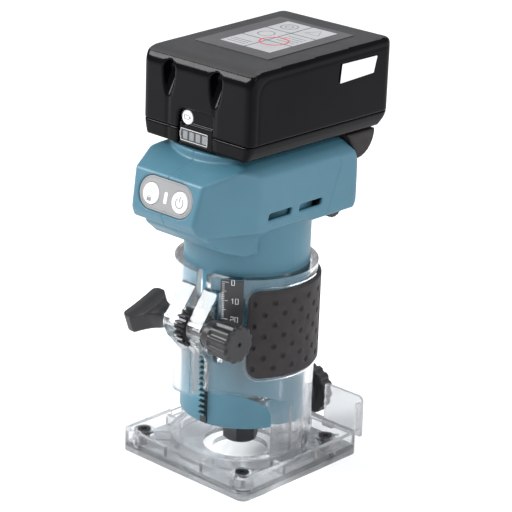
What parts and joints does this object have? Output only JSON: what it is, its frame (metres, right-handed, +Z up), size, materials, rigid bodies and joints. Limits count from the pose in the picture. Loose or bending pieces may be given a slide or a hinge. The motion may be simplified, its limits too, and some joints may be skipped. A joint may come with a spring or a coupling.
{
  "type": "trim router",
  "caption": "Cordless trim router: a slim motor unit with a slide-on battery, raised and lowered by rack and pinion in a clear square base.",
  "frame": {"origin": "centre of the bit opening at the base's underside, on the spindle axis", "axes": "+Z up along the spindle, -Y towards the switch panel and the depth knob's side, +X towards the depth knob"},
  "size_m": [0.09, 0.1284, 0.2271],
  "materials": {
    "clear_plastic": "clear moulded polycarbonate",
    "dark_steel": "black oxide",
    "bright_steel": "turned, plated",
    "core_steel": "laminated sheet",
    "cast_alloy": "die cast",
    "brass_parts": "turned or stamped",
    "copper_wire": "enamelled winding",
    "scale_plastic": "matt dark film with white marks",
    "grip_rubber": "matt elastomer",
    "black_plastic": "satin moulded",
    "teal_plastic": "fine moulded texture",
    "panel_plastic": "satin grey film",
    "white_plastic": "smooth white",
    "circuit_board": "solder mask",
    "lead_sleeve": "silicone insulation",
    "lamp_lens": "diffusing lens",
    "battery_gloss": "gloss black, satin on top",
    "label_film": null,
    "cell_sleeve": "shrink sleeve"
  },
  "bodies": {
    "base": {"base_foot": "clear_plastic", "base_sleeve": "clear_plastic", "sub_base": "clear_plastic", "base_screws": "dark_steel", "base_nuts": "dark_steel", "scale_plate": "scale_plastic", "grip_sleeve": "grip_rubber", "chip_deflector": "clear_plastic", "guide_insert": "brass_parts"},
    "guide_clamp": {"guide_screw": "bright_steel", "guide_knob": "black_plastic"},
    "base_clamp": {"clamp_screw": "bright_steel", "clamp_lever": "black_plastic", "clamp_washer": "bright_steel"},
    "depth_adjuster": {"pinion": "dark_steel", "depth_knob": "black_plastic", "clamp_nut": "bright_steel"},
    "motor_unit": {"motor_housing": "teal_plastic", "depth_rack": "dark_steel", "stator_core": "core_steel", "stator_coils": "copper_wire", "lower_bearing": "bright_steel", "upper_bearing": "bright_steel", "bearing_bracket": "cast_alloy", "motor_leads": "lead_sleeve", "head_left": "teal_plastic", "head_right": "teal_plastic", "rear_bumper": "grip_rubber", "switch_panel": "panel_plastic", "panel_lamp": "white_plastic", "panel_board": "circuit_board", "controller": "cast_alloy", "battery_shoe": "black_plastic", "shoe_blades": "brass_parts", "speed_pot": "panel_plastic", "work_lamps": "lamp_lens", "housing_screws": "dark_steel"},
    "spindle": {"spindle_shaft": "bright_steel", "rotor_core": "core_steel", "rotor_magnets": "dark_steel", "fan": "black_plastic", "collet": "bright_steel", "collet_nut": "dark_steel"},
    "power_switch": {"power_button": "white_plastic"},
    "lock_switch": {"lock_button": "white_plastic"},
    "dial": {"speed_dial": "black_plastic"},
    "battery": {"battery_case": "battery_gloss", "battery_cover": "battery_gloss", "battery_label": "label_film", "battery_cells": "cell_sleeve", "cell_holder": "black_plastic", "battery_board": "circuit_board", "battery_jaws": "brass_parts", "battery_screws": "dark_steel", "latch_spring": "bright_steel"},
    "latch": {"latch_button": "battery_gloss", "gauge_window": "lamp_lens"},
    "gauge_switch": {"check_button": "white_plastic"}
  },
  "joints": [
    {"name": "depth_slide", "type": "slide", "parent": "base", "child": "motor_unit", "axis": [0, 0, 1], "range_m": [-0.006, 0.034]},
    {"name": "pinion_turn", "type": "hinge", "parent": "base", "child": "depth_adjuster", "pos_m": [0.0035, -0.044, 0.085], "axis": [1, 0, 0], "range_deg": [-38, 206]},
    {"name": "clamp_turn", "type": "hinge", "parent": "base", "child": "base_clamp", "pos_m": [-0.0093, -0.044, 0.085], "axis": [1, 0, 0], "range_deg": [-60, 60]},
    {"name": "guide_turn", "type": "hinge", "parent": "base", "child": "guide_clamp", "pos_m": [0, 0.05, 0.02], "axis": [0, 1, 0], "range_deg": [-180, 180]},
    {"name": "spindle_spin", "type": "hinge", "parent": "motor_unit", "child": "spindle", "pos_m": [0, 0, 0.06], "axis": [0, 0, 1], "continuous": true},
    {"name": "power_press", "type": "slide", "parent": "motor_unit", "child": "power_switch", "axis": [0, 0.9732, -0.23], "range_m": [0, 0.001], "stiffness_N_per_m": 1500},
    {"name": "lock_press", "type": "slide", "parent": "motor_unit", "child": "lock_switch", "axis": [0, 0.9732, -0.23], "range_m": [0, 0.001], "stiffness_N_per_m": 1500},
    {"name": "dial_turn", "type": "hinge", "parent": "motor_unit", "child": "dial", "pos_m": [0.0307, 0.0295, 0.1412], "axis": [1, 0, 0], "range_deg": [-135, 135]},
    {"name": "battery_slide", "type": "slide", "parent": "motor_unit", "child": "battery", "axis": [0, -1, 0], "range_m": [0, 0.08]},
    {"name": "latch_slide", "type": "slide", "parent": "battery", "child": "latch", "axis": [0, 0, 1], "range_m": [0, 0.004], "stiffness_N_per_m": 1200, "deforming": ["latch_spring"]},
    {"name": "check_press", "type": "slide", "parent": "latch", "child": "gauge_switch", "axis": [0, 1, 0], "range_m": [0, 0.0006], "stiffness_N_per_m": 1500}
  ],
  "couplings": [
    {"joint": "pinion_turn", "follows": "depth_slide", "rad_per_m": 105.26}
  ]
}
